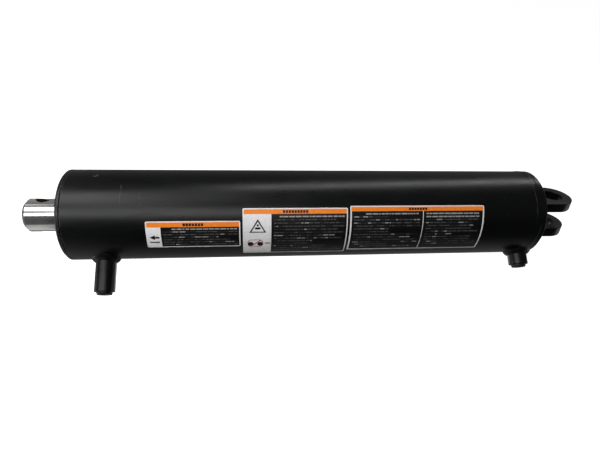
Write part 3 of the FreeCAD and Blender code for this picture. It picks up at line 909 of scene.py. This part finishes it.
def studio_world():
    """Low soft light that changes only round the cylinder's axis, with a white backdrop."""
    world = bpy.data.worlds.new("studio")
    bpy.context.scene.world = world
    world.use_nodes = True
    tree = world.node_tree
    link = tree.links.new
    ramp = tree.nodes.new("ShaderNodeValToRGB")
    stops = ramp.color_ramp.elements
    while len(stops) > 1:
        stops.remove(stops[0])
    for index, (degrees, level) in enumerate(STUDIO):
        place_on_ramp = (degrees + 180) / 360
        stop = stops[0] if index == 0 else stops.new(place_on_ramp)
        stop.position = place_on_ramp
        stop.color = grey(level)
    link(turn_share(tree), ramp.inputs["Fac"])
    lit = tree.nodes["Background"]
    link(ramp.outputs["Color"], lit.inputs["Color"])
    backdrop = tree.nodes.new("ShaderNodeBackground")
    backdrop.inputs["Color"].default_value = grey(1.0)
    path = tree.nodes.new("ShaderNodeLightPath")
    mix = tree.nodes.new("ShaderNodeMixShader")
    link(path.outputs["Is Camera Ray"], mix.inputs["Fac"])
    link(lit.outputs[0], mix.inputs[1])
    link(backdrop.outputs[0], mix.inputs[2])
    link(mix.outputs[0], tree.nodes["World Output"].inputs["Surface"])


def softbox(name, place, aim, size, level, spin=0.0, mirrored=True):
    """Rectangular soft light of an even brightness; one that isn't mirrored only fills."""
    lamp = bpy.data.lights.new(name, "AREA")
    lamp.shape = "RECTANGLE"
    lamp.size, lamp.size_y = size
    lamp.energy = level * math.pi * size[0] * size[1]
    holder = bpy.data.objects.new(name, lamp)
    facing = (Vector(aim) - Vector(place)).to_track_quat("-Z", "Y").to_matrix()
    turned = facing @ Matrix.Rotation(math.radians(spin), 3, "Z")
    holder.matrix_world = Matrix.Translation(place) @ turned.to_4x4()
    holder.visible_glossy = mirrored
    bpy.context.scene.collection.objects.link(holder)


# Softboxes beside the barrel: name, first and last angle from +Z towards the front, first and last
# station, brightness, and skew in degrees.
PANELS = [
    ("upper_panel", 5, 32, -2.3, -1.0, 2.6, 0),
    ("upper_panel_fade", -2, 32, -1.0, -0.52, 0.75, 0),
    ("middle_panel", 32, 48, -1.34, -0.8, 0.95, 0),
    ("lower_panel", 48, 66, -2.3, -0.38, 2.25, 0),
    ("ceiling_strip", -27, -15, -0.68, 1.1, 3.1, 22),
    ("back_panel", -142, -104, -1.4, 0.8, 1.25, 0),
    ("rod_top_card", -95, -18, -2.6, -1.34, 0.16, 0),
    ("rod_line_card", -17, -10, -2.6, -1.34, 1.0, 0),
    ("rod_gap_card", -10, 5, -2.6, -1.34, 0.13, 0),
    ("rod_middle_card", 32, 48, -2.3, -1.34, 0.25, 0),
    ("rod_side_card", 72, 131, -2.6, -1.34, 0.08, 0),
    ("rod_under_card", 131, 190, -2.6, -1.34, 0.38, 0),
]
PANEL_DISTANCE = 1.3


def panel(name, first, last, start, end, level, skew):
    """Softbox that fills an angle and a length, as seen from the cylinder's axis."""
    place = around((start + end) / 2, (first + last) / 2, PANEL_DISTANCE)
    tall = 2 * PANEL_DISTANCE * math.tan(math.radians(last - first) / 2)
    softbox(name, place, (place.x, 0, 0), (end - start, tall), level, skew)


def camera():
    """The viewpoint: in front of the barrel and above it, a little towards the rod."""
    data = bpy.data.cameras.new("camera")
    data.sensor_width = 36.0
    data.lens = 26.68
    view = bpy.data.objects.new("camera", data)
    place = Vector((-0.5178, -0.6307, 0.3574))
    aim, roll = Vector((-0.43345, -0.00996, -0.01653)), 3.41
    facing = (aim - place).to_track_quat("-Z", "Y")
    view.rotation_mode = "QUATERNION"
    view.rotation_quaternion = facing @ Matrix.Rotation(math.radians(roll), 4, "Z").to_quaternion()
    view.location = place
    bpy.context.scene.collection.objects.link(view)
    bpy.context.scene.camera = view


FLOOR_DROP = 0.25            # below the cylinder's lowest point
pale_floor(FLOOR_DROP)
studio_world()
camera()
for row in PANELS:
    panel(*row)
softbox("head_card", (-3.6, 0, -0.8), (HEAD_X, 0, 0), (1.5, 1.5), 0.9)
softbox("base_card", (2.8, 0, -0.9), (BASE_X, 0, 0), (1.2, 1.2), 0.9)
softbox("left_key", (-3.1, -1.3, 1.2), (-0.42, 0, 0), (1.8, 2.4), 9.5, mirrored=False)
bpy.context.scene.view_settings.view_transform = "Standard"
